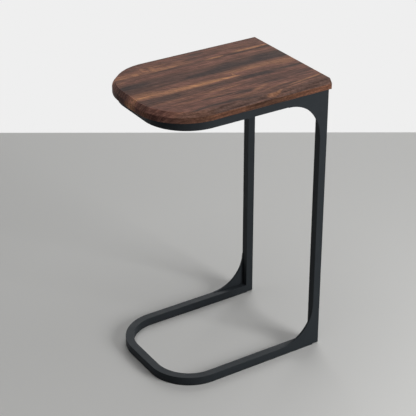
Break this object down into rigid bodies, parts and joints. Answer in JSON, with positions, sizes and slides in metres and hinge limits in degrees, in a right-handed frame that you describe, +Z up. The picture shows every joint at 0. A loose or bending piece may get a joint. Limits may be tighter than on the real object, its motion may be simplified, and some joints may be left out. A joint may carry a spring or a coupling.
{
  "type": "c shaped side table",
  "caption": "C-shaped side table: rounded, bevelled walnut top cantilevered on a welded square-tube frame with gusset plates and a floor loop that slides under a sofa.",
  "frame": {"origin": "on the floor, under the middle of the table's outline in plan", "axes": "+Z up, +X from the cantilevered end towards the uprights, +Y across the table to its far side"},
  "size_m": [0.419, 0.304, 0.677],
  "materials": {
    "walnut": "oiled walnut, satin",
    "frame_coat": "charcoal-black powder coat, satin",
    "zinc": "zinc plated",
    "foot_rubber": "matt black rubber"
  },
  "bodies": {
    "root": {"top_board_far": "walnut", "top_board_middle": "walnut", "top_board_near": "walnut", "upper_rim": "frame_coat", "rear_top_rail": "frame_coat", "upright_near": "frame_coat", "upright_far": "frame_coat", "base_loop": "frame_coat", "gusset_top_near": "frame_coat", "gusset_top_far": "frame_coat", "gusset_base_near": "frame_coat", "gusset_base_far": "frame_coat", "tab_front": "frame_coat", "tab_rear": "frame_coat", "tab_near_front": "frame_coat", "tab_near_rear": "frame_coat", "tab_far_front": "frame_coat", "tab_far_rear": "frame_coat", "tab_washers": "zinc", "tab_screws": "zinc", "glide_strip": "foot_rubber"}
  },
  "joints": []
}
